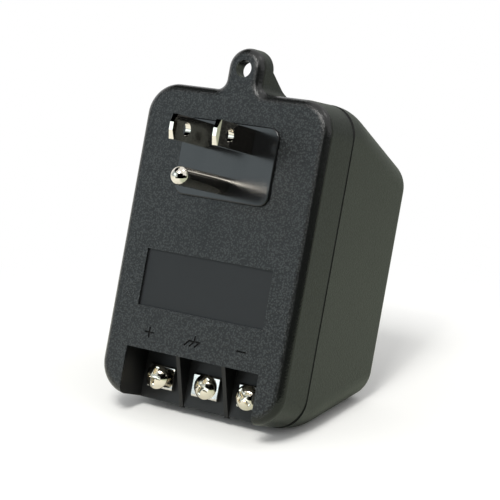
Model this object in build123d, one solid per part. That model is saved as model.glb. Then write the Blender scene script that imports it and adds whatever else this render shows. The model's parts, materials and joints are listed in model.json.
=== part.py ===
import os
from math import cos, radians, tan

from build123d import *

# Plug-in power supply with screw terminals, in millimetres and degrees.
# Pieces are modelled in the plug's own frame: x to the right seen from the front, y into
# the case, z up the front face, origin on the front face midway between the two blades.
# At the end every piece is stood on the case's sloped underside.

# Case
case_width = 54.6  # at the front face
case_height = 81.4  # at the front face
case_depth = 48.5
blade_drop = 12.45  # top edge of the case down to the blades
corner_radius = 8.3
cover_depth = 12.55
cover_draft = 3.3
wall = 2.2
face_wall = 2.4
front_radius = 2.5
rear_radius = 2.2
rear_draft = 1.0
top_slope = 17.3
underside_slope = 17.2
top_rim = 5.3  # parting plane to the line where the top turns down
underside_rim = 6.9  # parting plane to the line where the underside turns up
turn_length = 6.0  # depth that each turn is rounded over
turn_steps = 3
foot_trim = 0.02  # taken off the underside to leave it exactly flat
seam_width = 0.36
seam_depth = 0.7
tongue_depth = 1.5
tongue_thickness = 0.9
tongue_clearance = 0.1

# Screw lug on the cover's top edge
lug_radius = 5.12
lug_height = 6.05  # the lug's round end, centre above the top edge
lug_hole = 4.5
lug_hole_drop = 0.3  # hole's centre below the round end's
lug_plate = 3.8
lug_depth = 5.7
lug_wall = 0.9
lug_foot_radius = 2.75
lug_knee = 0.2  # start of the rear slope above the round end's centre
lug_slope = 35.0

# Recessed bare panel
panel_width = 37.8
panel_height = 14.8
panel_lift = 30.85  # bottom edge of the case up to the panel's centre
panel_depth = 0.6

# Moulded terminal signs
sign_lift = 17.05  # bottom edge of the case up to the signs
sign_size = 2.8
sign_stroke = 0.45
sign_depth = 0.35
earth_sign_width = 3.6
earth_sign_stem = 1.5
earth_sign_leg = 1.4  # across and down
earth_sign_turn = 45

# Terminal pocket
terminal_pitch = 13.9
pocket_side = 6.1  # outer screw's axis to the pocket's side
pocket_height = 12.55
pocket_depth = 10.5
pocket_wall = 1.6
barrier_thickness = 1.15
barrier_setback = 4.3
barrier_toe = 0.4  # below the pocket's bottom edge

# Blade carrier
carrier_width = 28.4
carrier_height = 19.95
carrier_drop = 5.68  # blades down to the carrier's centre
carrier_rise = 0.7
carrier_radius = 3.0
carrier_edge = 0.35
carrier_lip = 2.6
carrier_lip_thickness = 1.8
carrier_clearance = 0.05

# Blades and ground pin
blade_pitch = 12.7
blade_width = 6.35
blade_thickness = 1.52
blade_length = 18.1  # beyond the front face
blade_hole = 3.4
blade_hole_reach = 12.1
blade_nose = 1.0  # the tip's middle beyond its upper and lower corners
blade_nose_height = 2.0
blade_bevel = 1.2
blade_end_share = 0.7  # of the blade's thickness, at its end
blade_shoulder = 1.0
blade_shoulder_length = 1.6
tab_width = 4.0
tab_length = 4.2
tab_hole = 1.6
pin_diameter = 4.76
pin_length = 22.2
pin_drop = 11.89
pin_neck = 4.0
pin_shoulder = 6.8
pin_tail = 3.2
fit_clearance = 0.02

# Terminal screws, clamps and bars
screw_lift = 5.65  # bottom edge of the case up to the screws
head_diameter = 6.5
head_height = 2.0
head_rim = 0.35
slot_width = 1.0
slot_depth = 0.95
cross_width = 0.95
cross_length = 3.9
cross_depth = 1.35
slot_turns = (84, 66, -45)
backed_out = (1.65, 0.0, 2.0)  # as photographed, left to right
shank_diameter = 3.5
shank_end_gap = 0.4  # tip of the shank to the circuit board
shank_clearance = 0.15
clamp_width = 7.8
clamp_height = 6.3
clamp_thickness = 0.8
clamp_lip = 0.45
clamp_bend = 0.7
clamp_gap = 0.1  # clamp's lips to the pocket's back wall
bar_width = 7.0
bar_height = 5.8
bar_leg_width = 3.0
bar_leg_thickness = 0.8

# Circuit board and what stands on it
board_gap = 2.1  # parting plane to the board
board_thickness = 1.6
board_height = 19.6
board_side_gap = 2.6
board_floor_gap = 2.6
board_post = 5.6
board_post_inset = 4.0  # post's axis to the board's edges
board_screw = 2.2
board_screw_head = 4.4
board_screw_length = 7.0
board_head_height = 1.5
capacitor_diameter = 10.0
capacitor_length = 20.0
capacitor_edge = 0.55
capacitor_place = (8.2, 2.6)  # from the board's centre
regulator_width = 10.0
regulator_height = 11.5
regulator_depth = 4.5
regulator_tab = 1.3
regulator_bare_tab = 2.9  # tab left clear above the body
regulator_place = (-16.2, -3.3)
diode_diameter = 2.7
diode_length = 5.2
diode_lead = 0.8
diode_spacing = 3.6
diode_place = (-3.9, -1.4)
fuse_diameter = 6.6
fuse_thickness = 2.4
fuse_place = (18.8, -5.4)

# Transformer
core_width = 42.0
core_height = 35.0
core_leg = 7.0
core_board_gap = 2.0  # board to the core, front to back
core_lift = 2.4  # board's top edge up to the core
core_hole = 3.5
core_screw = 2.9
core_screw_head = 5.6
core_head_height = 1.8
core_screw_grip = 7.0
core_screw_room = 1.0  # hole beyond the screw's end
core_post = 6.4
coil_overhang = 6.4
coil_rear_gap = 2.3  # coil to the rear wall
bobbin_wall = 1.0
bobbin_clearance = 0.15
tape_thickness = 0.4

# Wires
mains_wire = 1.8
earth_wire = 1.8
secondary_wire = 1.4
wire_bend = 2.2
wire_bend_share = 0.45
secondary_spacing = 18.0

# Derived sizes
case_top = blade_drop
case_bottom = blade_drop - case_height
cover_growth = cover_depth * tan(radians(cover_draft))
rim_top = case_top + cover_growth
rim_bottom = case_bottom - cover_growth
underside_flat = cover_depth + underside_rim + turn_length / 2
lug_centre = case_top + lug_height
lug_hole_z = lug_centre - lug_hole_drop
pocket_top = case_bottom + pocket_height
pocket_width = 2 * (terminal_pitch + pocket_side)
panel_z = case_bottom + panel_lift
sign_z = case_bottom + sign_lift
screw_z = case_bottom + screw_lift
head_back = pocket_depth - clamp_gap - clamp_lip - clamp_thickness
board_front = cover_depth + board_gap
board_back = board_front + board_thickness
board_width = case_width - 2 * (wall + board_side_gap)
board_low = case_bottom + wall + board_floor_gap
board_top = board_low + board_height
board_z = board_low + board_height / 2
post_x = board_width / 2 - board_post_inset
post_z = board_top - board_post_inset
leg_z = screw_z + bar_height / 2 - bar_leg_thickness / 2
core_front = board_back + core_board_gap
core_back = case_depth - wall - coil_rear_gap - coil_overhang
core_stack = core_back - core_front
core_z = board_top + core_lift + core_height / 2
lip_back = face_wall + carrier_lip_thickness
shoulder_back = lip_back + blade_shoulder_length
tab_back = shoulder_back + tab_length
window_width = (core_width - 4 * core_leg) / 2
window_height = core_height - 2 * core_leg
bobbin_height = window_height - 2 * bobbin_clearance
bobbin_width = 2 * core_leg + 2 * (window_width - bobbin_clearance)
bobbin_depth = core_stack + 2 * coil_overhang
bobbin_front = core_front - coil_overhang
foot_depth = (underside_flat + case_depth - rear_radius) / 2
foot_run = foot_depth - cover_depth - underside_rim
foot_rise = foot_run * tan(radians(underside_slope)) + foot_trim / cos(radians(underside_slope))
foot_height = rim_bottom + foot_rise
terminals = ("positive", "earth", "negative")
terminal_x = [(i - 1) * terminal_pitch for i in range(len(terminals))]


def face_plane(depth):
    return Plane(origin=(0, depth, 0), x_dir=(1, 0, 0), z_dir=(0, -1, 0))


def slab(sketch, near, far):
    # A sketch drawn as seen from the front, thickened from one depth to another.
    return extrude(face_plane(far) * sketch, amount=far - near)


def side_slab(points, width, x=0):
    # A (depth, height) polygon thickened sideways about x.
    side = Plane(origin=(x - width / 2, 0, 0), x_dir=(0, 1, 0), z_dir=(1, 0, 0))
    return extrude(side * make_face(Polyline(*points, close=True)), amount=width)


def rod(x, z, diameter, near, far):
    return slab(Pos(x, z) * Circle(diameter / 2), near, far)


def block(x, z, width, height, near, far):
    return slab(Pos(x, z) * Rectangle(width, height), near, far)


def turned_in(depth, rim, slope):
    # How far the top or the underside has come in at a depth, through its rounded turn.
    past = depth - (cover_depth + rim - turn_length / 2)
    if past <= 0:
        return 0
    if past < turn_length:
        return tan(radians(slope)) * past**2 / (2 * turn_length)
    return tan(radians(slope)) * (past - turn_length / 2)


def case_section(depth, inset=0.0):
    # The case's rounded outline at a depth: it widens to the parting plane, then narrows.
    growth = min(depth, cover_depth) * tan(radians(cover_draft))
    behind = max(0, depth - cover_depth) * tan(radians(rear_draft))
    top = case_top + growth - inset - turned_in(depth, top_rim, top_slope)
    bottom = case_bottom - growth + inset + turned_in(depth, underside_rim, underside_slope)
    width = case_width + 2 * (growth - behind - inset)
    return Pos(0, (top + bottom) / 2) * RectangleRounded(width, top - bottom, corner_radius - inset)


def housing_depths(end):
    # The depths at which the housing's outline is drawn, close together through its turns.
    depths = {cover_depth, end}
    for rim in (top_rim, underside_rim):
        first = cover_depth + rim - turn_length / 2
        depths |= {first + turn_length * i / turn_steps for i in range(turn_steps + 1)}
    return sorted(depths)


def housing_body(end, inset=0.0):
    return loft([face_plane(d) * case_section(d, inset) for d in housing_depths(end)], ruled=True)


def ring(outer_inset, inner_inset, near, far):
    outer = case_section(cover_depth, outer_inset)
    return slab(outer - case_section(cover_depth, inner_inset), near, far)


def lug_outline():
    # The lug's round head on a straight neck that flares into the case's top edge.
    head = Pos(0, lug_centre) * Circle(lug_radius)
    neck_height = lug_height + corner_radius
    neck = Pos(0, lug_centre - neck_height / 2) * Rectangle(2 * lug_radius, neck_height)
    flare_width = 2 * (lug_radius + lug_foot_radius)
    flare = Pos(0, case_top + lug_foot_radius / 2) * Rectangle(flare_width, lug_foot_radius)
    for side in (-1, 1):
        hollow_x = side * (lug_radius + lug_foot_radius)
        flare -= Pos(hollow_x, case_top + lug_foot_radius) * Circle(lug_foot_radius)
    return head + neck + flare


def lug_hollow():
    # The space between the lug's cheeks, open to the rear.
    inner = lug_radius - lug_wall
    arch = Pos(0, lug_centre) * Circle(inner)
    drop = lug_centre - rim_top
    arch += Pos(0, lug_centre - drop / 2) * Rectangle(2 * inner, drop)
    return slab(arch, lug_plate, cover_depth)


def lug_rear_cut():
    # Everything above the line that the lug's cheeks slope down along.
    knee = lug_centre + lug_knee
    fall = (cover_depth - lug_depth) * tan(radians(lug_slope))
    top = lug_centre + 2 * lug_radius
    points = [(lug_depth, top), (lug_depth, knee), (cover_depth, knee - fall), (cover_depth, top)]
    return side_slab(points, case_width)


def cover_signs():
    # Plus, chassis earth and minus signs, one above each terminal.
    bar = Rectangle(sign_size, sign_stroke)
    signs = Pos(terminal_x[0], sign_z) * (bar + Rectangle(sign_stroke, sign_size))
    signs += Pos(terminal_x[2], sign_z) * bar
    earth = Rectangle(earth_sign_width, sign_stroke)
    earth += Pos(0, earth_sign_stem / 2) * Rectangle(sign_stroke, earth_sign_stem)
    leg_length = earth_sign_leg / cos(radians(earth_sign_turn))
    for step in (-1, 0, 1):
        top_x = step * (earth_sign_width - sign_stroke) / 2
        middle = Pos(top_x - earth_sign_leg / 2, -earth_sign_leg / 2)
        earth += middle * Rot(0, 0, earth_sign_turn) * Rectangle(leg_length, sign_stroke)
    signs += Pos(terminal_x[1], sign_z) * earth
    return slab(signs, -face_wall, sign_depth)


def pocket_span(width, top, near, far):
    # A block from a given height down past the case's bottom edge.
    bottom = case_bottom - wall
    return block(0, (top + bottom) / 2, width, top - bottom, near, far)


def barrier(x):
    foot = case_bottom - pocket_depth * tan(radians(cover_draft)) - barrier_toe
    points = [(barrier_setback, pocket_top + pocket_wall), (barrier_setback, pocket_top)]
    points += [(pocket_depth, foot), (cover_depth - wall / 2, foot)]
    points += [(cover_depth - wall / 2, pocket_top + pocket_wall)]
    return side_slab(points, barrier_thickness, x)


def bar_window(x, clearance):
    width = bar_width + 2 * clearance
    return block(x, screw_z, width, bar_height + 2 * clearance, pocket_depth, cover_depth)


def front_cover():
    outline = offset(case_section(0) + lug_outline(), cover_growth)
    shell = extrude(face_plane(cover_depth) * outline, amount=cover_depth, taper=cover_draft)
    shell = fillet(shell.faces().sort_by(Axis.Y)[0].edges(), front_radius)
    outside = shell
    shell -= lug_rear_cut()
    shell -= lug_hollow()
    shell -= slab(case_section(0, wall), face_wall, cover_depth)
    lining_width = pocket_width + 2 * pocket_wall
    lining = pocket_span(lining_width, pocket_top + pocket_wall, face_wall / 2, cover_depth)
    shell += lining & outside
    shell -= pocket_span(pocket_width, pocket_top, -front_radius, pocket_depth)
    for side in (-1, 1):
        shell += barrier(side * terminal_pitch / 2)
        post = rod(side * post_x, post_z, board_post, face_wall / 2, board_front)
        shell += post - rod(side * post_x, post_z, board_screw, face_wall, board_front)
    shell += ring(wall - tongue_thickness, wall, cover_depth - tongue_depth, cover_depth + tongue_depth)
    shell -= ring(0, seam_depth, cover_depth - seam_width / 2, cover_depth)
    shell -= carrier_body(carrier_clearance, -front_radius)
    shell -= block(0, panel_z, panel_width, panel_height, -front_radius, panel_depth)
    shell -= cover_signs()
    shell -= rod(0, lug_hole_z, lug_hole, -front_radius, lug_depth)
    for x in terminal_x:
        shell -= bar_window(x, carrier_clearance)
    return shell


def under_foot():
    # The space under the plane that the case rests on.
    under = Box(2 * case_width, 2 * case_depth, wall, align=(Align.CENTER, Align.CENTER, Align.MAX))
    return Pos(0, foot_depth, foot_height) * Rot(underside_slope, 0, 0) * under


def rear_housing():
    shell = housing_body(case_depth)
    shell = fillet(shell.faces().sort_by(Axis.Y)[-1].edges(), rear_radius)
    shell -= under_foot()
    shell -= housing_body(case_depth - wall, wall)
    tongue = ring(wall - tongue_thickness - tongue_clearance, wall + tongue_thickness,
                  cover_depth, cover_depth + tongue_depth + tongue_clearance)
    shell -= tongue
    shell -= ring(0, seam_depth, cover_depth, cover_depth + seam_width / 2)
    for x, z in core_holes():
        shell += rod(x, z, core_post, core_back, case_depth - wall / 2)
        hole_end = core_back + core_screw_grip + core_screw_room
        shell -= rod(x, z, core_screw + 2 * fit_clearance, core_back, hole_end)
    return shell


def carrier_body(clearance, front):
    width = carrier_width + 2 * clearance
    height = carrier_height + 2 * clearance
    outline = RectangleRounded(width, height, carrier_radius + clearance)
    return slab(Pos(0, -carrier_drop) * outline, front, face_wall)


def blade_carrier():
    body = carrier_body(0, -carrier_rise)
    body = fillet(body.faces().sort_by(Axis.Y)[0].edges(), carrier_edge)
    lip_width = carrier_width + 2 * carrier_lip
    lip_height = carrier_height + 2 * carrier_lip
    lip = RectangleRounded(lip_width, lip_height, carrier_radius)
    body += slab(Pos(0, -carrier_drop) * lip, face_wall, lip_back)
    slot_w = blade_thickness + 2 * fit_clearance
    slot_h = blade_width + 2 * fit_clearance
    for side in (-1, 1):
        body -= block(side * blade_pitch / 2, 0, slot_w, slot_h, -blade_length, tab_back)
    body -= rod(0, -pin_drop, pin_neck + 2 * fit_clearance, -pin_length, tab_back)
    return body


def blade_plan(x):
    # The blade seen from above, thinned towards its tip.
    half = blade_thickness / 2
    shoulder = blade_width / 2 + blade_shoulder
    side = [(half, tab_back), (half, blade_bevel - blade_length)]
    side.append((half * blade_end_share, -blade_length))
    points = side + [(-across, depth) for across, depth in reversed(side)]
    plan = Plane(origin=(x, 0, -shoulder)) * make_face(Polyline(*points, close=True))
    return extrude(plan, amount=2 * shoulder)


def blade(x):
    half = blade_width / 2
    shoulder = half + blade_shoulder
    tab = tab_width / 2
    upper = [(-blade_length, blade_nose_height / 2), (blade_nose - blade_length, half), (lip_back, half)]
    upper += [(lip_back, shoulder), (shoulder_back, shoulder), (shoulder_back, tab), (tab_back, tab)]
    lower = [(depth, -height) for depth, height in reversed(upper)]
    flat = side_slab(upper + lower, blade_thickness, x) & blade_plan(x)
    holes = [(-blade_hole_reach, blade_hole), (shoulder_back + tab_length / 2, tab_hole)]
    for depth, diameter in holes:
        across = Plane(origin=(x - blade_thickness, depth, 0), z_dir=(1, 0, 0))
        flat -= extrude(across * Circle(diameter / 2), amount=2 * blade_thickness)
    return flat


def ground_pin():
    radius = pin_diameter / 2
    pin = rod(0, -pin_drop, pin_diameter, radius - pin_length, -carrier_rise)
    pin += rod(0, -pin_drop, pin_neck, -carrier_rise, lip_back)
    pin += Pos(0, radius - pin_length, -pin_drop) * Sphere(radius)
    pin += rod(0, -pin_drop, pin_shoulder, lip_back, shoulder_back)
    pin += block(0, -pin_drop, pin_tail, pin_tail, shoulder_back, tab_back)
    return pin


def terminal_screw(x, turn, out):
    rim_front = head_back - head_rim
    head = rod(x, screw_z, head_diameter, rim_front, head_back)
    rise = head_height - head_rim
    half = head_diameter / 2
    dome_radius = (half**2 + rise**2) / (2 * rise)
    dome = Pos(x, rim_front - rise + dome_radius, screw_z) * Sphere(dome_radius)
    head += dome & rod(x, screw_z, head_diameter, rim_front - rise, rim_front)
    front = head_back - head_height
    slot = Rot(0, 0, turn) * Rectangle(2 * head_diameter, slot_width)
    head -= slab(Pos(x, screw_z) * slot, front, front + slot_depth)
    cross = Rectangle(cross_length, cross_width) + Rectangle(cross_width, cross_length)
    head -= slab(Pos(x, screw_z) * Rot(0, 0, turn) * cross, front, front + cross_depth)
    head += rod(x, screw_z, shank_diameter, head_back, board_front - shank_end_gap)
    return Pos(0, -out, 0) * head


def clamp_plate(x):
    back = head_back + clamp_thickness
    plate = block(x, screw_z, clamp_width, clamp_height, head_back, back + clamp_lip)
    bends = plate.edges().filter_by(Axis.X).sort_by(Axis.Y)[:2]
    plate = fillet(bends, clamp_bend)
    hollow = clamp_height - 2 * clamp_thickness
    plate -= block(x, screw_z, clamp_width, hollow, back, back + clamp_lip)
    return plate - rod(x, screw_z, shank_diameter + 2 * shank_clearance, 0, cover_depth)


def terminal_bar(x):
    bar = bar_window(x, 0)
    bar += block(x, leg_z, bar_leg_width, bar_leg_thickness, cover_depth, board_back)
    return bar - rod(x, screw_z, shank_diameter + 2 * shank_clearance, 0, board_front)


def circuit_board():
    board = block(0, board_z, board_width, board_height, board_front, board_back)
    for x in terminal_x:
        slot_w = bar_leg_width + 2 * fit_clearance
        slot_h = bar_leg_thickness + 2 * fit_clearance
        board -= block(x, leg_z, slot_w, slot_h, board_front, board_back)
    for side in (-1, 1):
        hole = board_screw + 2 * shank_clearance
        board -= rod(side * post_x, post_z, hole, board_front, board_back)
    return board


def board_screws():
    screws = []
    for side in (-1, 1):
        x = side * post_x
        screw = rod(x, post_z, board_screw_head, board_back, board_back + board_head_height)
        shank = board_screw - 2 * fit_clearance
        screw += rod(x, post_z, shank, board_back - board_screw_length, board_back)
        screws.append(screw)
    return screws


def on_board(place):
    return place[0], board_z + place[1]


def filter_capacitor():
    x, z = on_board(capacitor_place)
    can = rod(x, z, capacitor_diameter, board_back, board_back + capacitor_length)
    return fillet(can.edges().filter_by(GeomType.CIRCLE), capacitor_edge)


def voltage_regulator():
    x, z = on_board(regulator_place)
    body_height = regulator_height - regulator_bare_tab
    body_z = z - regulator_bare_tab / 2
    tab_front = board_back + regulator_tab
    body = block(x, body_z, regulator_width, body_height, board_back, board_back + regulator_depth)
    return body + block(x, z, regulator_width, regulator_height, board_back, tab_front)


def rectifier_diodes():
    diodes = []
    radius = diode_diameter / 2
    middle = board_back + radius + fit_clearance
    reach = diode_length / 2 + 2 * diode_lead
    middle_x, z = on_board(diode_place)
    for i in range(4):
        x = middle_x + (i - 1.5) * diode_spacing
        axle = Plane(origin=(x, middle, z - diode_length / 2), z_dir=(0, 0, 1))
        diode = extrude(axle * Circle(radius), amount=diode_length)
        diode += block(x, z, diode_lead, 2 * reach, middle - diode_lead / 2, middle + diode_lead / 2)
        for end in (-1, 1):
            foot_z = z + end * (reach - diode_lead / 2)
            diode += block(x, foot_z, diode_lead, diode_lead, board_back, middle)
        diodes.append(diode)
    return diodes


def output_fuse():
    x, z = on_board(fuse_place)
    return rod(x, z, fuse_diameter, board_back, board_back + fuse_thickness)


def core_holes():
    reach_x = (core_width - core_leg) / 2
    reach_z = (core_height - core_leg) / 2
    return [(sx * reach_x, core_z + sz * reach_z) for sx in (-1, 1) for sz in (-1, 1)]


def transformer_core():
    core = block(0, core_z, core_width, core_height, core_front, core_back)
    for side in (-1, 1):
        window_x = side * (core_leg + window_width / 2)
        core -= block(window_x, core_z, window_width, window_height, core_front, core_back)
    for x, z in core_holes():
        core -= rod(x, z, core_hole, core_front, core_back)
    return core


def core_screws():
    screws = []
    for x, z in core_holes():
        screw = rod(x, z, core_screw_head, core_front - core_head_height, core_front)
        screws.append(screw + rod(x, z, core_screw, core_front, core_back + core_screw_grip))
    return screws


def coil_ring(width, depth, inner_width, inner_depth, low, high):
    # A rectangular ring around the core's middle leg, between two heights.
    at = Plane(origin=(0, (core_front + core_back) / 2, low))
    section = Rectangle(width, depth) - Rectangle(inner_width, inner_depth)
    return extrude(at * section, amount=high - low)


def coil_spans():
    # Heights of the two winding spaces, above and below the bobbin's middle flange.
    low = core_z - bobbin_height / 2
    space = (bobbin_height - 3 * bobbin_wall) / 2
    lower = low + bobbin_wall
    upper = lower + space + bobbin_wall
    return (upper, upper + space), (lower, lower + space)


leg_hole = (2 * core_leg + 2 * bobbin_clearance, core_stack + 2 * bobbin_clearance)
barrel = (leg_hole[0] + 2 * bobbin_wall, leg_hole[1] + 2 * bobbin_wall)
flange = (bobbin_width, bobbin_depth)
tape = (flange[0] - 2 * bobbin_clearance, flange[1] - 2 * bobbin_clearance)
winding = (tape[0] - 2 * tape_thickness, tape[1] - 2 * tape_thickness)


def bobbin():
    low = core_z - bobbin_height / 2
    spool = coil_ring(*barrel, *leg_hole, low, low + bobbin_height)
    middle = core_z - bobbin_wall / 2
    for bottom in (low, middle, low + bobbin_height - bobbin_wall):
        spool += coil_ring(*flange, *leg_hole, bottom, bottom + bobbin_wall)
    return spool


def wire(points, diameter):
    # A round wire along straight runs, bent as widely as the shortest run allows.
    runs = [(Vector(*b) - Vector(*a)).length for a, b in zip(points, points[1:])]
    path = FilletPolyline(*points, radius=min(wire_bend, wire_bend_share * min(runs)))
    start = Plane(origin=path @ 0, z_dir=path % 0)
    return sweep(start * Circle(diameter / 2), path=path)


def mains_lead(x):
    # From a blade's solder tab down and back to the bobbin's top flange.
    tab_depth = shoulder_back + tab_length / 2
    flange_depth = bobbin_front + mains_wire
    flange_top = core_z + bobbin_height / 2
    start = -tab_width / 2
    drop = (start - flange_top) / 3
    points = [(x, tab_depth, start), (x, tab_depth, start - drop)]
    points += [(x, flange_depth, flange_top + drop), (x, flange_depth, flange_top)]
    return wire(points, mains_wire)


def earth_lead():
    depth = shoulder_back + tab_length / 2
    start = -pin_drop - pin_tail / 2
    end = board_top - 2 * earth_wire
    return wire([(0, depth, start), (0, depth, end), (0, board_front, end)], earth_wire)


def secondary_lead(x):
    depth = bobbin_front + secondary_wire
    start = core_z - bobbin_height / 2
    end = board_top - 2 * secondary_wire
    return wire([(x, depth, start), (x, depth, end), (x, board_front, end)], secondary_wire)


def all_pieces():
    pieces = {
        "front_cover": front_cover(),
        "rear_housing": rear_housing(),
        "blade_carrier": blade_carrier(),
        "neutral_blade": blade(-blade_pitch / 2),
        "line_blade": blade(blade_pitch / 2),
        "ground_pin": ground_pin(),
        "circuit_board": circuit_board(),
        "board_screws": board_screws(),
        "filter_capacitor": filter_capacitor(),
        "voltage_regulator": voltage_regulator(),
        "rectifier_diodes": rectifier_diodes(),
        "output_fuse": output_fuse(),
        "transformer_core": transformer_core(),
        "core_screws": core_screws(),
        "bobbin": bobbin(),
        "neutral_wire": mains_lead(-blade_pitch / 2),
        "line_wire": mains_lead(blade_pitch / 2),
        "earth_wire": earth_lead(),
        "secondary_wire_left": secondary_lead(-secondary_spacing / 2),
        "secondary_wire_right": secondary_lead(secondary_spacing / 2),
    }
    upper, lower = coil_spans()
    pieces["primary_winding"] = coil_ring(*winding, *barrel, *upper)
    pieces["secondary_winding"] = coil_ring(*winding, *barrel, *lower)
    pieces["winding_tape"] = [coil_ring(*tape, *winding, *span) for span in (upper, lower)]
    for name, x, turn, out in zip(terminals, terminal_x, slot_turns, backed_out):
        pieces[f"{name}_screw"] = terminal_screw(x, turn, out)
        pieces[f"{name}_clamp"] = clamp_plate(x)
        pieces[f"{name}_bar"] = terminal_bar(x)
    return pieces


def stood(piece):
    # Turns a piece so that the case rests on its sloped underside, centred on the origin.
    return Rot(-underside_slope, 0, 0) * Pos(0, -foot_depth, -foot_height) * piece


os.makedirs("parts", exist_ok=True)
for node, piece in all_pieces().items():
    group = piece if isinstance(piece, list) else [piece]
    solids = [stood(solid) for item in group for solid in item.solids()]
    export_step(solids[0] if len(solids) == 1 else Compound(children=solids), f"parts/{node}.step")
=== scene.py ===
import json
from math import asin, cos, hypot, radians, sin

import bmesh
import bpy
from mathutils import Matrix, Vector


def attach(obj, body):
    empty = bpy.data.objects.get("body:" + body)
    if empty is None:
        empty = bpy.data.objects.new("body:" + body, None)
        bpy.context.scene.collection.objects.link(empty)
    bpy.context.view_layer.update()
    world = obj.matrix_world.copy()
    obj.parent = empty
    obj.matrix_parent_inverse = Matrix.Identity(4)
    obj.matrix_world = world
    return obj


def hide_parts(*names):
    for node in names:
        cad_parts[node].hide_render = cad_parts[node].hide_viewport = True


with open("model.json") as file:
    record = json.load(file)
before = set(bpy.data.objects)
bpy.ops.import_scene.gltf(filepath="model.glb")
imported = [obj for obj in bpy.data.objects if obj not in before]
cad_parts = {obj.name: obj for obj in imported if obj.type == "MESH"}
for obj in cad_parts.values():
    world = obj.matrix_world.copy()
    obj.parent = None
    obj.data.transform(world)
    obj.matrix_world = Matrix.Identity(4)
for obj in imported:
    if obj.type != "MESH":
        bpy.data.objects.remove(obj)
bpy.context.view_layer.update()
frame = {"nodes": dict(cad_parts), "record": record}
scene = bpy.context.scene
cadNodes = frame["nodes"]
mounts = {m["name"]: m for m in frame["record"]["mounts"]}


def mountPlace(name):
    return Vector(mounts[name]["pos_m"])


# plug frame: x right, y into the case, z up the front face, zero midway between the blades
outward = Vector(mounts["plug_face"]["axis"])
lean = asin(outward.z)  # the case leans back by its sloped underside
bladeRow = (mountPlace("neutral_blade") + mountPlace("line_blade")) / 2
faceGap = (bladeRow - mountPlace("plug_face")).dot(outward)
plugZero = bladeRow - outward * faceGap  # on the front face, between the blades
plugTurn = Matrix.Rotation(lean, 3, "X")
plugShift = -(plugTurn @ plugZero)
rowToPlug = Matrix.Translation(plugShift) @ plugTurn.to_4x4()  # from the frame's axes to the plug's


def newMaterial(name):
    material = bpy.data.materials.new(name)
    material.use_nodes = True
    tree = material.node_tree
    shader = tree.nodes["Principled BSDF"]
    return material, tree, shader


def addNode(tree, kind, **settings):
    node = tree.nodes.new(kind)
    for key, value in settings.items():
        setattr(node, key, value)
    return node


def feed(tree, socket, value):  # links another node's output, or sets a constant
    if isinstance(value, bpy.types.NodeSocket):
        tree.links.new(value, socket)
    else:
        socket.default_value = value


def mathNode(tree, operation, *values, clamp=False):
    node = addNode(tree, "ShaderNodeMath", operation=operation, use_clamp=clamp)
    for socket, value in zip(node.inputs, values):
        feed(tree, socket, value)
    return node.outputs[0]


def blend(tree, factor, a, b):  # a where the factor is 0, b where it is 1
    return mathNode(tree, "MULTIPLY_ADD", factor, mathNode(tree, "SUBTRACT", b, a), a)


def rampMask(tree, value, low, high):  # 0 below low, 1 above high
    node = addNode(tree, "ShaderNodeMapRange", interpolation_type="SMOOTHSTEP")
    feed(tree, node.inputs["Value"], value)
    feed(tree, node.inputs["From Min"], low)
    feed(tree, node.inputs["From Max"], high)
    return node.outputs["Result"]


def belowMask(tree, value, low, high):  # 1 below low, 0 above high
    return mathNode(tree, "SUBTRACT", 1.0, rampMask(tree, value, low, high))


def bandMask(tree, value, rise, fall):  # 1 between two slopes
    return mathNode(tree, "SUBTRACT", rampMask(tree, value, *rise), rampMask(tree, value, *fall))


def opaque(tone):
    return (*tone, 1.0)


mixSockets = {"factor": 0, "a": 6, "b": 7, "result": 2}  # the mix node's colour sockets share their names


def mixColour(tree, factor, a, b):
    node = addNode(tree, "ShaderNodeMix", data_type="RGBA")
    feed(tree, node.inputs[mixSockets["factor"]], factor)
    for end, value in (("a", a), ("b", b)):
        feed(tree, node.inputs[mixSockets[end]], opaque(value) if isinstance(value, tuple) else value)
    return node.outputs[mixSockets["result"]]


def mottledRough(tree, mottle, rough, swing):  # about rough, by half the swing either way
    return mathNode(tree, "MULTIPLY_ADD", mottle, swing, mathNode(tree, "SUBTRACT", rough, swing / 2))


def bumpNormal(tree, shader, height, distance):
    bump = addNode(tree, "ShaderNodeBump")
    feed(tree, bump.inputs["Distance"], distance)
    feed(tree, bump.inputs["Height"], height)
    feed(tree, shader.inputs["Normal"], bump.outputs["Normal"])


def objectPoint(tree):
    return addNode(tree, "ShaderNodeTexCoord").outputs["Object"]


def plugPoint(tree):  # object coordinates turned into the plug frame, in metres
    mapping = addNode(tree, "ShaderNodeMapping")
    feed(tree, mapping.inputs["Location"], plugShift)
    feed(tree, mapping.inputs["Rotation"], (lean, 0.0, 0.0))
    feed(tree, mapping.inputs["Vector"], objectPoint(tree))
    return mapping.outputs["Vector"]


def noiseNode(tree, point, scale, detail):
    node = addNode(tree, "ShaderNodeTexNoise")
    feed(tree, node.inputs["Vector"], point)
    feed(tree, node.inputs["Scale"], scale)
    feed(tree, node.inputs["Detail"], detail)
    return node.outputs["Fac"]


def newGroup(name, inputs, outputs):  # takes a point and numbers, gives numbers
    group = bpy.data.node_groups.new(name, "ShaderNodeTree")
    group.interface.new_socket("Point", in_out="INPUT", socket_type="NodeSocketVector")
    for label in inputs:
        group.interface.new_socket(label, in_out="INPUT", socket_type="NodeSocketFloat")
    for label in outputs:
        group.interface.new_socket(label, in_out="OUTPUT", socket_type="NodeSocketFloat")
    return group, group.nodes.new("NodeGroupInput").outputs, group.nodes.new("NodeGroupOutput").inputs


def placeGroup(tree, group, point, **values):
    node = addNode(tree, "ShaderNodeGroup", node_tree=group)
    feed(tree, node.inputs["Point"], point)
    for label, value in values.items():
        feed(tree, node.inputs[label], value)
    return node.outputs


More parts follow.
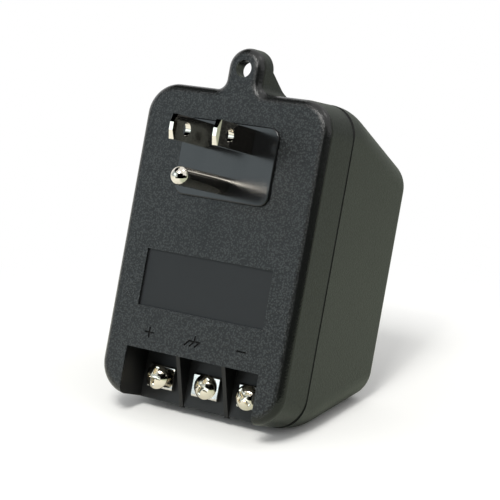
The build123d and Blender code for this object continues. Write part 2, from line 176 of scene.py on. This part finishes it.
grainSet = {
    "pebbleSoftness": 0.6,
    "pitDetail": 2.0,
    "pitShare": 0.8,  # the pits' height, where a pebble's is 1
    "mottleScale": 90.0,
    "mottleDetail": 3.0,
    "crest": (0.85, 1.11),  # heights where the pebble tops start and are fully painted pale as highlight, the pits painted dark as shade
}


def makeGrainGroup(s):  # spark-eroded mould grain: pebbles with fine pits between them
    group, given, result = newGroup("mouldGrain", ("Pebbles", "Pits"), ("Height", "Mottle", "Crest"))
    pebbles = addNode(group, "ShaderNodeTexVoronoi", feature="SMOOTH_F1")
    feed(group, pebbles.inputs["Vector"], given["Point"])
    feed(group, pebbles.inputs["Scale"], given["Pebbles"])
    feed(group, pebbles.inputs["Smoothness"], s["pebbleSoftness"])
    pits = noiseNode(group, given["Point"], given["Pits"], s["pitDetail"])
    domes = mathNode(group, "SUBTRACT", 1.0, pebbles.outputs["Distance"])
    height = mathNode(group, "MULTIPLY_ADD", pits, s["pitShare"], domes)
    feed(group, result["Height"], height)
    feed(group, result["Mottle"], noiseNode(group, given["Point"], s["mottleScale"], s["mottleDetail"]))
    # the pale-top mask: painted highlight on the pebble tops, painted shade in the pits
    feed(group, result["Crest"], rampMask(group, height, *s["crest"]))
    return group


scuffSet = {"fineDetail": 4.0, "wearScale": 350.0, "wearDetail": 5.0}


def makeScuffGroup(s):  # fine drawn lines and handling marks on plated metal
    group, given, result = newGroup("plateScuff", ("Fineness",), ("Height", "Wear"))
    feed(group, result["Height"], noiseNode(group, given["Point"], given["Fineness"], s["fineDetail"]))
    feed(group, result["Wear"], noiseNode(group, given["Point"], s["wearScale"], s["wearDetail"]))
    return group


grainGroup = makeGrainGroup(grainSet)
scuffGroup = makeScuffGroup(scuffSet)
print("finish groups ready")

caseFinish = {
    # darkTone is painted shade in the grain's pits, paleTone painted highlight on its pebble tops
    "darkTone": (0.0008, 0.0010, 0.0010),
    "paleTone": (0.0238, 0.0264, 0.0268),
    "panelTone": (0.0028, 0.0036, 0.0048),
    # painted shade inside the terminal pocket
    "pocketShadeTone": (0.0035, 0.0039, 0.0042),
    # painted shade on the front edge's rounding
    "rimShadeTone": (0.0060, 0.0066, 0.0062),
    "shadowTone": (0.0008, 0.0009, 0.0009),  # in the signs and the seam
    "pebbles": 2100.0,  # cells a metre
    "pits": 4300.0,
    "grainDepth": 0.00008,
    "sideGrain": 0.4,  # share of the grain left on the sides
    "smoothGrain": 0.2,  # and in the panel and the pocket
    "evenCrest": 0.5,  # what the painted highlight and shade of the grain fade to where the grain does
    "grainRough": 0.33,
    "smoothRough": 0.50,
    "rimRough": 0.22,
    "shadowRough": 0.9,
    "roughSwing": 0.06,
    "frontDepth": (0.0001, 0.0005),  # grain eases where the front edge's rounding starts
    "rimDepth": (0.0018, 0.0027),  # the rounding is polished and painted darker as shade down to here
    "panelHalf": (0.0189, 0.0074),
    "panelHeight": -0.0381,
    "panelDepth": (0.0003, 0.00045),
    "panelEnd": (0.0015, 0.0020),
    "signHalf": (0.0190, 0.0030),
    "signHeight": -0.0519,
    "signDepth": (0.00006, 0.00016),
    "boxSoft": 0.00005,
    "pocketHalf": 0.0201,
    "pocketTop": -0.0563,
    "pocketSoft": 0.0001,
    "pocketDepth": (0.0003, 0.0008),
    "pocketEnd": (0.0108, 0.0112),
    "seamMiddle": 0.01237,
    "seamWidth": (0.00030, 0.00042),  # dark in the joint, clear of it past the second value
}


def insideMask(tree, value, limit, soft):  # 1 below the limit
    return belowMask(tree, value, limit - soft, limit + soft)


def boxMask(tree, across, up, half, middle, soft):  # 1 inside a rectangle of the front face
    offMiddle = mathNode(tree, "ABSOLUTE", mathNode(tree, "SUBTRACT", up, middle))
    insideX = insideMask(tree, mathNode(tree, "ABSOLUTE", across), half[0], soft)
    insideZ = insideMask(tree, offMiddle, half[1], soft)
    return mathNode(tree, "MULTIPLY", insideX, insideZ)


def caseMasks(tree, point, f):  # where the case's finish changes, and where shade is painted on it
    axes = addNode(tree, "ShaderNodeSeparateXYZ")
    feed(tree, axes.inputs[0], point)
    across, depth, up = axes.outputs
    panelBox = boxMask(tree, across, up, f["panelHalf"], f["panelHeight"], f["boxSoft"])
    panel = mathNode(tree, "MULTIPLY", panelBox, bandMask(tree, depth, f["panelDepth"], f["panelEnd"]))
    signBox = boxMask(tree, across, up, f["signHalf"], f["signHeight"], f["boxSoft"])
    sign = mathNode(tree, "MULTIPLY", signBox, bandMask(tree, depth, f["signDepth"], f["panelEnd"]))
    offSeam = mathNode(tree, "ABSOLUTE", mathNode(tree, "SUBTRACT", depth, f["seamMiddle"]))
    shadow = mathNode(tree, "ADD", sign, belowMask(tree, offSeam, *f["seamWidth"]), clamp=True)
    low = insideMask(tree, up, f["pocketTop"], f["pocketSoft"])
    inside = insideMask(tree, mathNode(tree, "ABSOLUTE", across), f["pocketHalf"], f["pocketSoft"])
    deep = bandMask(tree, depth, f["pocketDepth"], f["pocketEnd"])
    pocket = mathNode(tree, "MULTIPLY", mathNode(tree, "MULTIPLY", low, inside), deep)
    side = rampMask(tree, depth, *f["frontDepth"])
    rim = mathNode(tree, "SUBTRACT", side, rampMask(tree, depth, *f["rimDepth"]), clamp=True)
    return panel, pocket, shadow, side, rim


def makeCaseMaterial(f):
    material, tree, shader = newMaterial("charcoalGrainPlastic")
    point = plugPoint(tree)
    grain = placeGroup(tree, grainGroup, point, Pebbles=f["pebbles"], Pits=f["pits"])
    panel, pocket, shadow, side, rim = caseMasks(tree, point, f)
    smooth = mathNode(tree, "ADD", panel, pocket, clamp=True)
    sideShare = blend(tree, side, 1.0, f["sideGrain"])
    share = mathNode(tree, "MULTIPLY", sideShare, blend(tree, smooth, 1.0, f["smoothGrain"]))
    bumpNormal(tree, shader, mathNode(tree, "MULTIPLY", grain["Height"], share), f["grainDepth"])
    # the grain's tops painted pale and its pits dark: painted highlight and shade
    crest = blend(tree, share, f["evenCrest"], grain["Crest"])
    tone = mixColour(tree, crest, f["darkTone"], f["paleTone"])
    # the rim and pocket tones are painted shade on the rounding and in the pocket; the shadow tone is painted
    # shadow in the signs and the seam
    overlays = {"rimShadeTone": rim, "panelTone": panel, "pocketShadeTone": pocket, "shadowTone": shadow}
    for over, mask in overlays.items():
        tone = mixColour(tree, mask, tone, f[over])
    feed(tree, shader.inputs["Base Color"], tone)
    rough = blend(tree, rim, f["grainRough"], f["rimRough"])
    rough = blend(tree, smooth, rough, f["smoothRough"])
    rough = blend(tree, shadow, rough, f["shadowRough"])
    feed(tree, shader.inputs["Roughness"], mottledRough(tree, grain["Mottle"], rough, f["roughSwing"]))
    return material


carrierFinish = {
    "darkTone": (0.005, 0.0053, 0.0056),
    "paleTone": (0.007, 0.0073, 0.0076),
    "rough": 0.17,
    "roughSwing": 0.06,
    "pebbles": 700.0,
    "pits": 2100.0,
    "depth": 0.000003,
}


def makeCarrierMaterial(f):
    material, tree, shader = newMaterial("satinCarrierPlastic")
    grain = placeGroup(tree, grainGroup, plugPoint(tree), Pebbles=f["pebbles"], Pits=f["pits"])
    feed(tree, shader.inputs["Base Color"], mixColour(tree, grain["Mottle"], f["darkTone"], f["paleTone"]))
    feed(tree, shader.inputs["Roughness"], mottledRough(tree, grain["Mottle"], f["rough"], f["roughSwing"]))
    bumpNormal(tree, shader, grain["Height"], f["depth"])
    return material


wearSet = {"range": (0.35, 0.75), "rough": 0.04}
metalFinish = {
    "nickel_plate": {
        "name": "brightNickelPlate", "tone": (0.80, 0.755, 0.67), "dull": (0.70, 0.655, 0.575),
        "rough": 0.04, "fineness": 2500.0, "depth": 0.000002},
    "nickel_screw": {
        "name": "warmNickelScrew", "tone": (0.86, 0.80, 0.68), "dull": (0.74, 0.67, 0.54),
        "rough": 0.09, "fineness": 3000.0, "depth": 0.000003},
    "clamp_plate": {
        "name": "paleNickelClamp", "tone": (0.78, 0.76, 0.72), "dull": (0.62, 0.60, 0.56),
        "rough": 0.10, "fineness": 2500.0, "depth": 0.000003},
    "screw_recess": {
        "name": "shadedRecess", "tone": (0.11, 0.068, 0.030), "dull": (0.06, 0.036, 0.016),
        "rough": 0.50, "fineness": 3000.0, "depth": 0.000004},
    "terminal_brass": {
        "name": "terminalBrass", "tone": (0.78, 0.57, 0.26), "dull": (0.60, 0.42, 0.18),
        "rough": 0.22, "fineness": 1500.0, "depth": 0.000003},
    "zinc_steel": {
        "name": "zincSteel", "tone": (0.66, 0.67, 0.67), "dull": (0.50, 0.51, 0.51),
        "rough": 0.28, "fineness": 2000.0, "depth": 0.000003},
}


def makeMetal(name, tone, dull, rough, fineness, depth):
    material, tree, shader = newMaterial(name)
    scuff = placeGroup(tree, scuffGroup, plugPoint(tree), Fineness=fineness)
    worn = rampMask(tree, scuff["Wear"], *wearSet["range"])
    feed(tree, shader.inputs["Base Color"], mixColour(tree, worn, tone, dull))
    feed(tree, shader.inputs["Roughness"], mathNode(tree, "MULTIPLY_ADD", worn, wearSet["rough"], rough))
    feed(tree, shader.inputs["Metallic"], 1.0)
    bumpNormal(tree, shader, scuff["Height"], depth)
    return material


mouldedSet = {"pebbles": 800.0, "pits": 2000.0, "depth": 0.00001, "roughSwing": 0.1}
mouldedFinish = {
    "board_green": {
        "name": "boardGreen", "dark": (0.012, 0.085, 0.03), "pale": (0.03, 0.15, 0.06), "rough": 0.35},
    "capacitor_sleeve": {
        "name": "capacitorSleeve", "dark": (0.012, 0.02, 0.07), "pale": (0.02, 0.03, 0.1), "rough": 0.3},
    "component_black": {
        "name": "componentBlack", "dark": (0.012, 0.012, 0.012), "pale": (0.02, 0.02, 0.02), "rough": 0.4},
    "fuse_yellow": {
        "name": "fuseYellow", "dark": (0.62, 0.36, 0.03), "pale": (0.75, 0.48, 0.06), "rough": 0.35},
    "bobbin_nylon": {
        "name": "bobbinNylon", "dark": (0.66, 0.63, 0.56), "pale": (0.74, 0.72, 0.65), "rough": 0.45},
    "tape_yellow": {
        "name": "tapeYellow", "dark": (0.66, 0.42, 0.04), "pale": (0.76, 0.52, 0.07), "rough": 0.25},
    "wire_white": {
        "name": "wireWhite", "dark": (0.66, 0.66, 0.64), "pale": (0.74, 0.74, 0.72), "rough": 0.4},
    "wire_black": {
        "name": "wireBlack", "dark": (0.012, 0.012, 0.012), "pale": (0.022, 0.022, 0.022), "rough": 0.4},
    "wire_green": {
        "name": "wireGreen", "dark": (0.015, 0.14, 0.04), "pale": (0.03, 0.2, 0.07), "rough": 0.4},
    "wire_red": {
        "name": "wireRed", "dark": (0.3, 0.015, 0.012), "pale": (0.42, 0.03, 0.02), "rough": 0.4},
}


def makeMoulded(name, dark, pale, rough):
    material, tree, shader = newMaterial(name)
    m = mouldedSet
    grain = placeGroup(tree, grainGroup, objectPoint(tree), Pebbles=m["pebbles"], Pits=m["pits"])
    feed(tree, shader.inputs["Base Color"], mixColour(tree, grain["Mottle"], dark, pale))
    feed(tree, shader.inputs["Roughness"], mottledRough(tree, grain["Mottle"], rough, m["roughSwing"]))
    bumpNormal(tree, shader, grain["Height"], m["depth"])
    return material


bandedSet = {
    "waveScale": 0.314,  # the wave's scale for bands a metre apart
    "distortion": 0.3,
    "roughRange": (0.1, -0.05),  # added to the roughness in the grooves and on the ridges
    "depthShare": 0.3,
}
bandedFinish = {
    "core_steel": {
        "name": "coreLaminations", "dark": (0.05, 0.05, 0.052), "pale": (0.22, 0.22, 0.23),
        "rough": 0.4, "metallic": 0.6, "period": 0.0005, "axis": "Y"},
    "winding_copper": {
        "name": "windingCopper", "dark": (0.25, 0.08, 0.03), "pale": (0.55, 0.22, 0.09),
        "rough": 0.3, "metallic": 0.7, "period": 0.0004, "axis": "Z"},
}


def makeBanded(name, dark, pale, rough, metallic, period, axis):  # laminations or wire turns
    material, tree, shader = newMaterial(name)
    wave = addNode(tree, "ShaderNodeTexWave", bands_direction=axis)
    feed(tree, wave.inputs["Scale"], bandedSet["waveScale"] / period)
    feed(tree, wave.inputs["Distortion"], bandedSet["distortion"])
    feed(tree, wave.inputs["Vector"], plugPoint(tree))
    bands = wave.outputs["Fac"]
    groove, ridge = bandedSet["roughRange"]
    feed(tree, shader.inputs["Base Color"], mixColour(tree, bands, dark, pale))
    feed(tree, shader.inputs["Roughness"], blend(tree, bands, rough + groove, rough + ridge))
    feed(tree, shader.inputs["Metallic"], metallic)
    bumpNormal(tree, shader, bands, period * bandedSet["depthShare"])
    return material


finishes = {
    "case_plastic": makeCaseMaterial(caseFinish),
    "carrier_plastic": makeCarrierMaterial(carrierFinish),
}
for maker, recipes in ((makeMetal, metalFinish), (makeMoulded, mouldedFinish), (makeBanded, bandedFinish)):
    for slotName, recipe in recipes.items():
        finishes[slotName] = maker(**recipe)
for part in frame["record"]["subparts"]:
    slotName = "clamp_plate" if part["node"].endswith("_clamp") else part["material_slot"]
    mesh = cadNodes[part["node"]].data
    mesh.materials.clear()
    mesh.materials.append(finishes[slotName])
print("finishes on", len(cadNodes), "nodes")

screwSet = {
    "headRadius": 0.00325,
    "headHeight": 0.0020,
    "domeRise": 0.00165,
    "rimShare": 0.97,  # of the head's radius: points past this are on its rim
    "recessShare": 0.93,  # of the head's radius: the recess stays inside this
    "recessSink": 0.00005,  # a face this far under the dome is in the recess
    "recessFloor": 0.0002,  # the recess stops this far from the head's back
    "softEdge": 0.00006,  # rounding of the recess's edges
    "softSteps": 2,
    "softProfile": 0.5,
    "softAngle": 35.0,  # edges sharper than this are rounded
    "sharpAngle": 30.0,  # and those left past this are shaded sharp
    "weld": 1e-6,
    "crest": 0.00175,
    "crestSlack": 1.02,
    "root": 0.00138,
    "pitch": 0.00079375,
    "turns": 6.0,
    "turnSteps": 36,
    "flankShare": 0.45,  # half of the ridge's foot, as a share of the pitch
    "lead": 0.00012,  # plain shank under the head
}


def makeThreadTree(s):  # a ridge wound along the shank
    tree = bpy.data.node_groups.new("screwThread", "GeometryNodeTree")
    for label in ("Crest", "Root", "Pitch", "Turns"):
        tree.interface.new_socket(label, in_out="INPUT", socket_type="NodeSocketFloat")
    tree.interface.new_socket("Finish", in_out="INPUT", socket_type="NodeSocketMaterial")
    tree.interface.new_socket("Geometry", in_out="OUTPUT", socket_type="NodeSocketGeometry")
    given = tree.nodes.new("NodeGroupInput").outputs
    result = tree.nodes.new("NodeGroupOutput").inputs
    helix = addNode(tree, "GeometryNodeCurveSpiral")
    feed(tree, helix.inputs["Resolution"], s["turnSteps"])
    feed(tree, helix.inputs["Rotations"], given["Turns"])
    feed(tree, helix.inputs["Start Radius"], given["Root"])
    feed(tree, helix.inputs["End Radius"], given["Root"])
    feed(tree, helix.inputs["Height"], mathNode(tree, "MULTIPLY", given["Pitch"], given["Turns"]))
    upright = addNode(tree, "GeometryNodeSetCurveNormal", mode="Z_UP")
    feed(tree, upright.inputs[0], helix.outputs[0])
    ridge = addNode(tree, "GeometryNodeCurvePrimitiveQuadrilateral", mode="KITE")
    rise = mathNode(tree, "SUBTRACT", given["Crest"], given["Root"])
    feed(tree, ridge.inputs["Width"], mathNode(tree, "MULTIPLY", rise, 2.0))
    for label in ("Bottom Height", "Top Height"):
        feed(tree, ridge.inputs[label], mathNode(tree, "MULTIPLY", given["Pitch"], s["flankShare"]))
    sweep = addNode(tree, "GeometryNodeCurveToMesh")
    feed(tree, sweep.inputs["Fill Caps"], True)
    feed(tree, sweep.inputs["Curve"], upright.outputs[0])
    feed(tree, sweep.inputs["Profile Curve"], ridge.outputs[0])
    solid = addNode(tree, "GeometryNodeRealizeInstances")
    feed(tree, solid.inputs[0], sweep.outputs[0])
    coat = addNode(tree, "GeometryNodeSetMaterial")
    feed(tree, coat.inputs["Geometry"], solid.outputs[0])
    feed(tree, coat.inputs["Material"], given["Finish"])
    feed(tree, result[0], coat.outputs[0])
    return tree


def growMesh(name, tree, **values):  # runs a node tree and keeps its result as a plain mesh
    holder = bpy.data.objects.new(name, bpy.data.meshes.new(name))
    scene.collection.objects.link(holder)
    grow = holder.modifiers.new("grow", "NODES")
    grow.node_group = tree
    for item in tree.interface.items_tree:
        if item.in_out == "INPUT" and item.name in values:
            grow[item.identifier] = values[item.name]
    bpy.context.view_layer.update()
    mesh = bpy.data.meshes.new_from_object(holder.evaluated_get(bpy.context.evaluated_depsgraph_get()))
    holder.modifiers.remove(grow)
    holder.data = mesh
    mesh.name = name
    return holder


def offAxis(point, terminal):
    return hypot(point.x - terminal.x, point.z - terminal.z)


def markRecess(shape, terminal, headBack, s):  # gives the slot and the cross the second material
    domeRadius = (s["headRadius"] ** 2 + s["domeRise"] ** 2) / (2 * s["domeRise"])
    domeCentre = Vector((terminal.x, headBack - s["headHeight"] + domeRadius, terminal.z))
    for face in shape.faces:
        middle = face.calc_center_median()
        sunk = domeRadius - (middle - domeCentre).length > s["recessSink"]
        inside = offAxis(middle, terminal) < s["recessShare"] * s["headRadius"]
        if sunk and inside and middle.y < headBack - s["recessFloor"]:
            face.material_index = 1


def thinShank(shape, terminal, headBack, s):  # brings the shank down to the thread's root
    share = s["root"] / s["crest"]
    for v in shape.verts:
        if v.co.y > headBack - s["weld"] and offAxis(v.co, terminal) < s["crestSlack"] * s["crest"]:
            v.co.x = terminal.x + (v.co.x - terminal.x) * share
            v.co.z = terminal.z + (v.co.z - terminal.z) * share


def screwHead(name, terminal, s):
    mesh = cadNodes[f"{name}_screw"].data.copy()
    mesh.name = f"{name}_screw_head"
    if "custom_normal" in mesh.attributes:
        mesh.attributes.remove(mesh.attributes["custom_normal"])
    mesh.transform(rowToPlug)
    shape = bmesh.new()
    shape.from_mesh(mesh)
    bmesh.ops.remove_doubles(shape, verts=shape.verts, dist=s["weld"])
    rim = [v.co.y for v in shape.verts if offAxis(v.co, terminal) > s["rimShare"] * s["headRadius"]]
    headBack = max(rim)
    markRecess(shape, terminal, headBack, s)
    thinShank(shape, terminal, headBack, s)
    edges = [e for e in shape.edges if e.is_manifold and e.calc_face_angle() > radians(s["softAngle"])]
    bmesh.ops.bevel(shape, geom=edges, offset=s["softEdge"], offset_type="OFFSET", segments=s["softSteps"],
                    profile=s["softProfile"], affect="EDGES", clamp_overlap=True)
    shape.to_mesh(mesh)
    shape.free()
    mesh.transform(rowToPlug.inverted())
    mesh.materials.clear()
    mesh.materials.append(finishes["nickel_screw"])
    mesh.materials.append(finishes["screw_recess"])
    mesh.shade_smooth()
    mesh.set_sharp_from_angle(angle=radians(s["sharpAngle"]))
    head = bpy.data.objects.new(mesh.name, mesh)
    scene.collection.objects.link(head)
    return head, headBack


def screwThread(name, terminal, headBack, s):
    thread = growMesh(f"{name}_screw_thread", threadTree, Crest=s["crest"], Root=s["root"], Pitch=s["pitch"],
                      Turns=s["turns"], Finish=finishes["nickel_screw"])
    start = Matrix.Translation((terminal.x, headBack + s["lead"] + s["pitch"] / 2, terminal.z))
    thread.data.transform(rowToPlug.inverted() @ start @ Matrix.Rotation(radians(-90.0), 4, "X"))
    return thread


threadTree = makeThreadTree(screwSet)
for name in ("positive", "earth", "negative"):
    terminal = rowToPlug @ mountPlace(f"{name}_terminal")
    head, headBack = screwHead(name, terminal, screwSet)
    thread = screwThread(name, terminal, headBack, screwSet)
    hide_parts(f"{name}_screw")
    for piece in (head, thread):
        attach(piece, f"{name}_screw")
    print(name, "screw:", len(head.data.polygons), "faces,", len(thread.data.polygons), "on its thread")

cameraSet = {
    "place": (0.2210, -0.3610, 0.1523),
    "aim": (0.00757, -0.01548, 0.04504),
    "rollDeg": 1.28,
    "lens": 119.41,
    "sensor": 36.0,
}


def makeCamera(c):
    data = bpy.data.cameras.new("photoCamera")
    data.lens = c["lens"]
    data.sensor_width = c["sensor"]
    camera = bpy.data.objects.new("photoCamera", data)
    scene.collection.objects.link(camera)
    place = Vector(c["place"])
    level = (Vector(c["aim"]) - place).to_track_quat("-Z", "Y").to_matrix()
    roll = Matrix.Rotation(radians(c["rollDeg"]), 3, "Z")
    camera.matrix_world = Matrix.LocRotScale(place, level @ roll, None)
    scene.camera = camera


makeCamera(cameraSet)

lampAim = Vector((0.0, 0.0, 0.04))  # about the middle of the case
warmWhite = (1.0, 0.99, 0.96)
coolWhite = (0.82, 0.95, 1.0)
lampSet = {
    "keyBox": {"place": (0.12, -0.50, 0.74), "size": (0.28, 0.28), "power": 3.9, "tone": warmWhite},
    "keySpot": {"place": (0.15, -0.60, 0.66), "size": (0.07, 0.07), "power": 1.0, "tone": warmWhite},
    "topBox": {"place": (0.36, 0.20, 0.82), "size": (0.2, 0.2), "power": 0.5, "tone": warmWhite},
    "leftBox": {"place": (-0.63, -0.87, 0.40), "size": (0.55, 0.42), "power": 1.05, "tone": coolWhite},
}


def makeLamp(name, s):
    data = bpy.data.lights.new(name, "AREA")
    data.shape = "RECTANGLE"
    data.size, data.size_y = s["size"]
    data.energy = s["power"]
    data.color = s["tone"]
    lamp = bpy.data.objects.new(name, data)
    scene.collection.objects.link(lamp)
    place = Vector(s["place"])
    lamp.matrix_world = Matrix.LocRotScale(place, (lampAim - place).to_track_quat("-Z", "Y"), None)


for name, s in lampSet.items():
    makeLamp(name, s)

floorSet = {
    "half": 3.0,
    "tone": (0.90, 0.90, 0.83),  # what the part's reflections show
    "farTone": (0.50, 0.55, 0.44),  # the same to the right, out of the lamps' pool
    "shadeWay": (0.95, 0.31, 0.0),
    "shadeFrom": -0.020,
    "shadeAt": 0.030,
    "seenTone": (0.965, 0.965, 0.95),  # what the camera sees
    "whiteFrom": 0.065,  # the camera's paper turns plain white between these
    "whiteAt": 0.15,
}


def mixShaders(tree, factor, a, b):
    node = addNode(tree, "ShaderNodeMixShader")
    for socket, value in zip(node.inputs, (factor, a, b)):
        feed(tree, socket, value)
    return node.outputs[0]


def makePaper(s):
    material, tree, shader = newMaterial("palePaper")
    tree.nodes.remove(shader)
    point = objectPoint(tree)
    towards = addNode(tree, "ShaderNodeVectorMath", operation="DOT_PRODUCT")
    feed(tree, towards.inputs[0], point)
    feed(tree, towards.inputs[1], s["shadeWay"])
    shade = rampMask(tree, towards.outputs["Value"], s["shadeFrom"], s["shadeAt"])
    paper = addNode(tree, "ShaderNodeBsdfDiffuse")
    feed(tree, paper.inputs["Color"], mixColour(tree, shade, s["tone"], s["farTone"]))
    seenPaper = addNode(tree, "ShaderNodeBsdfDiffuse")
    feed(tree, seenPaper.inputs["Color"], opaque(s["seenTone"]))
    seen = addNode(tree, "ShaderNodeLightPath").outputs["Is Camera Ray"]
    near = mixShaders(tree, seen, paper.outputs[0], seenPaper.outputs[0])
    away = addNode(tree, "ShaderNodeVectorMath", operation="LENGTH")
    feed(tree, away.inputs[0], point)
    far = rampMask(tree, away.outputs["Value"], s["whiteFrom"], s["whiteAt"])
    glow = addNode(tree, "ShaderNodeEmission")
    whole = mixShaders(tree, mathNode(tree, "MULTIPLY", far, seen), near, glow.outputs[0])
    feed(tree, tree.nodes["Material Output"].inputs["Surface"], whole)
    return material


def makeFloor(s):
    mesh = bpy.data.meshes.new("studioFloor")
    h = s["half"]
    mesh.from_pydata([(-h, -h, 0), (h, -h, 0), (h, h, 0), (-h, h, 0)], [], [(0, 1, 2, 3)])
    mesh.materials.append(makePaper(s))
    floor = bpy.data.objects.new("studioFloor", mesh)
    scene.collection.objects.link(floor)
    return floor


floor = makeFloor(floorSet)

cardSteps = 18
cardSet = {  # degrees round the part, then the radius and the height of the two long edges
    "darkCurtain": {"turn": (-92.0, -24.0), "radius": (0.60, 0.60), "height": (0.0, 0.54)},
    "midCurtain": {"turn": (-24.0, 0.0), "radius": (0.60, 0.60), "height": (0.0, 0.23)},
    "lowCurtain": {"turn": (0.0, 22.0), "radius": (0.60, 0.60), "height": (0.0, 0.12)},
    "darkCeiling": {"turn": (135.0, 222.0), "radius": (0.28, 1.0), "height": (0.75, 0.75)},
    "darkApron": {"turn": (-112.0, 22.0), "radius": (0.22, 0.60), "height": (0.001, 0.001)},
    "backScreen": {
        "turn": (24.0, 120.0), "radius": (1.2, 1.2), "height": (0.0, 0.75),
        "tone": (0.92, 1.0, 0.86), "glow": 0.40},
    "coolScreen": {
        "turn": (-178.0, -92.0), "radius": (1.3, 1.3), "height": (0.0, 1.3),
        "tone": (0.84, 0.95, 1.0), "glow": 0.58},
}


def makeCard(name, s):  # a curved studio screen, seen only in reflections
    mesh = bpy.data.meshes.new(name)
    near, far = s["turn"]
    turns = [radians(near + (far - near) * i / cardSteps) for i in range(cardSteps + 1)]
    points = [(r * cos(a), r * sin(a), z) for r, z in zip(s["radius"], s["height"]) for a in turns]
    mesh.from_pydata(points, [], [(i, i + 1, cardSteps + i + 2, cardSteps + i + 1) for i in range(cardSteps)])
    card = bpy.data.objects.new(name, mesh)
    scene.collection.objects.link(card)
    material, tree, shader = newMaterial(name)
    feed(tree, shader.inputs["Base Color"], opaque((0.0, 0.0, 0.0)))
    feed(tree, shader.inputs["Specular IOR Level"], 0.0)
    feed(tree, shader.inputs["Emission Strength"], s.get("glow", 0.0))  # the dark ones give no light
    if "tone" in s:
        feed(tree, shader.inputs["Emission Color"], opaque(s["tone"]))
    mesh.materials.append(material)
    card.visible_camera = False
    card.visible_diffuse = False
    card.visible_shadow = False
    return card


cards = [makeCard(name, s) for name, s in cardSet.items()]

worldSet = {"fill": 0.66}  # share of the white that lights the part; reflections see all of it


def makeWorld(s):
    world = bpy.data.worlds.new("whiteStudio")
    world.use_nodes = True
    scene.world = world
    tree = world.node_tree
    back = tree.nodes["Background"]
    feed(tree, back.inputs["Color"], opaque((1.0, 1.0, 1.0)))
    path = addNode(tree, "ShaderNodeLightPath").outputs
    plain = mathNode(tree, "ADD", path["Is Camera Ray"], path["Is Glossy Ray"], clamp=True)
    plain = mathNode(tree, "ADD", plain, path["Is Transmission Ray"], clamp=True)
    feed(tree, back.inputs["Strength"], blend(tree, plain, s["fill"], 1.0))


makeWorld(worldSet)
scene.view_settings.view_transform = "Standard"
print("studio ready")
